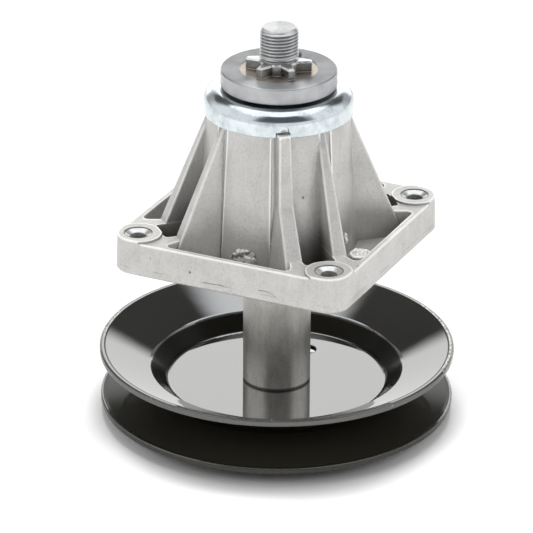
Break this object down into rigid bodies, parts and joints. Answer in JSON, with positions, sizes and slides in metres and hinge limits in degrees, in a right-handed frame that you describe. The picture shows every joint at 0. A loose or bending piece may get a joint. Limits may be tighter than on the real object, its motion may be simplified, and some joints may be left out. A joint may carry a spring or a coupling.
{
  "type": "mower deck spindle",
  "caption": "Mower deck spindle: cast flanged housing with ribs, bearing-mounted shaft with star blade hub, and a stamped V-belt pulley.",
  "frame": {"origin": "on the shaft's axis, at the pulley nut's end face, which is the lowest point", "axes": "+Z along the shaft towards the threaded blade end, X and Y square to the flange's sides"},
  "size_m": [0.1486, 0.1486, 0.1719],
  "materials": {
    "cast_aluminium": "as cast, matt and slightly granular",
    "zinc_plate": "bright zinc plating",
    "turned_steel": "turned and machined steel",
    "spacer_steel": "drawn steel tube",
    "black_paint": "gloss black paint over stamped sheet steel",
    "bearing_steel": "ground bearing steel",
    "ball_steel": "polished bearing steel",
    "cage_steel": "pressed sheet steel",
    "seal_rubber": "matt black rubber"
  },
  "bodies": {
    "housing": {"spindle_housing": "cast_aluminium", "dust_cap": "zinc_plate", "blade_bearing_outer_race": "bearing_steel", "blade_bearing_outer_seal": "seal_rubber", "blade_bearing_inner_seal": "seal_rubber", "pulley_bearing_outer_race": "bearing_steel", "pulley_bearing_outer_seal": "seal_rubber", "pulley_bearing_inner_seal": "seal_rubber"},
    "rotor": {"spindle_shaft": "turned_steel", "bearing_spacer": "spacer_steel", "pulley_spacer": "spacer_steel", "pulley_upper_half": "black_paint", "pulley_lower_half": "black_paint", "pulley_washer": "zinc_plate", "pulley_nut": "zinc_plate", "blade_bearing_inner_race": "bearing_steel", "pulley_bearing_inner_race": "bearing_steel"},
    "blade_ball_set": {"blade_bearing_balls": "ball_steel", "blade_bearing_cage": "cage_steel"},
    "pulley_ball_set": {"pulley_bearing_balls": "ball_steel", "pulley_bearing_cage": "cage_steel"}
  },
  "joints": [
    {"name": "shaft_spin", "type": "hinge", "parent": "housing", "child": "rotor", "pos_m": [0, 0, 0.1092], "axis": [0, 0, 1], "continuous": true},
    {"name": "blade_balls_orbit", "type": "hinge", "parent": "housing", "child": "blade_ball_set", "pos_m": [0, 0, 0.1354], "axis": [0, 0, 1], "continuous": true},
    {"name": "pulley_balls_orbit", "type": "hinge", "parent": "housing", "child": "pulley_ball_set", "pos_m": [0, 0, 0.083], "axis": [0, 0, 1], "continuous": true}
  ],
  "couplings": [
    {"joint": "blade_balls_orbit", "follows": "shaft_spin", "ratio": 0.3815},
    {"joint": "pulley_balls_orbit", "follows": "shaft_spin", "ratio": 0.3815}
  ]
}
